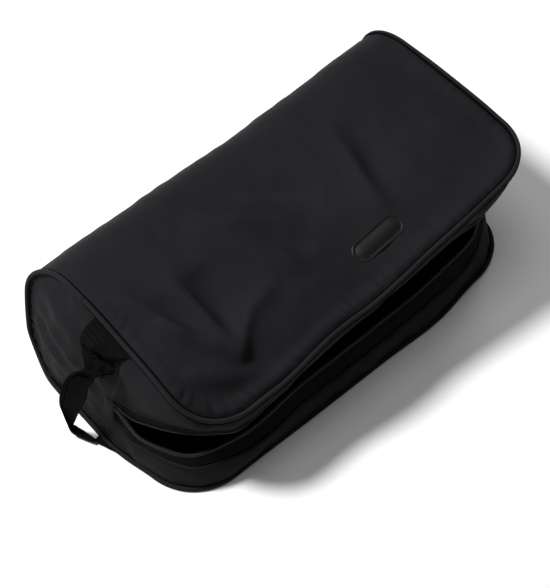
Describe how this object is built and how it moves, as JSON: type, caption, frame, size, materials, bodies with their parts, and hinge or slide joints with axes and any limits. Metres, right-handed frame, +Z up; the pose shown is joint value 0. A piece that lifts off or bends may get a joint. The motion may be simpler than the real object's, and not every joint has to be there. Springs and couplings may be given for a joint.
{
  "type": "shoe bag",
  "caption": "Soft zipped shoe bag with rounded back, piped edges, wide mouth round the front, webbing carry handle on one end and a plain badge.",
  "frame": {"origin": "centre of the bottom panel, on the surface the bag lies on", "axes": "+X along the bag away from the handle, -Y towards the mouth, +Z up"},
  "size_m": [0.4189, 0.199, 0.1266],
  "materials": {
    "nylon": "fine ripstop weave with a soft sheen",
    "piping": "cloth-covered cord, soft sheen",
    "zip_tape": "matte woven tape",
    "zip_teeth": "moulded coil, satin",
    "binding": "matte woven tape",
    "webbing": "coarse matte weave",
    "badge": "polished",
    "backing": "satin",
    "slider": "satin enamel"
  },
  "bodies": {
    "shell": {"main_panel": "nylon", "left_end_panel": "nylon", "right_end_panel": "nylon", "lower_band": "nylon", "lower_zipper_tape": "zip_tape", "lower_zipper_teeth": "zip_teeth", "shell_piping": "piping", "left_seam_binding": "binding", "right_seam_binding": "binding", "front_seam_binding": "binding", "left_zipper_tab": "nylon", "right_zipper_tab": "nylon", "handle_upper_end": "webbing", "handle_lower_end": "webbing"},
    "lid": {"top_panel": "nylon", "upper_band": "nylon", "upper_zipper_tape": "zip_tape", "upper_zipper_teeth": "zip_teeth", "lid_piping": "piping", "lid_seam_binding": "binding", "badge_plate": "badge", "badge_backing": "backing"},
    "handle": {"handle_grip": "webbing"},
    "slider": {"slider_body": "slider"},
    "pull": {"slider_pull": "slider"}
  },
  "joints": [
    {"name": "lid_fold", "type": "hinge", "parent": "shell", "child": "lid", "pos_m": [0, 0, 0.123], "axis": [-1, 0, 0], "range_deg": [-12, 40]},
    {"name": "handle_swing", "type": "hinge", "parent": "shell", "child": "handle", "pos_m": [-0.202, 0.004, 0.053], "axis": [0, 0, 1], "range_deg": [-20, 120]},
    {"name": "slider_run", "type": "slide", "parent": "shell", "child": "slider", "axis": [0, -1, 0], "range_m": [0, 0.016]},
    {"name": "pull_swing", "type": "hinge", "parent": "slider", "child": "pull", "pos_m": [0.1884, -0.0225, 0.055], "axis": [0, -1, 0], "range_deg": [0, 120]}
  ]
}
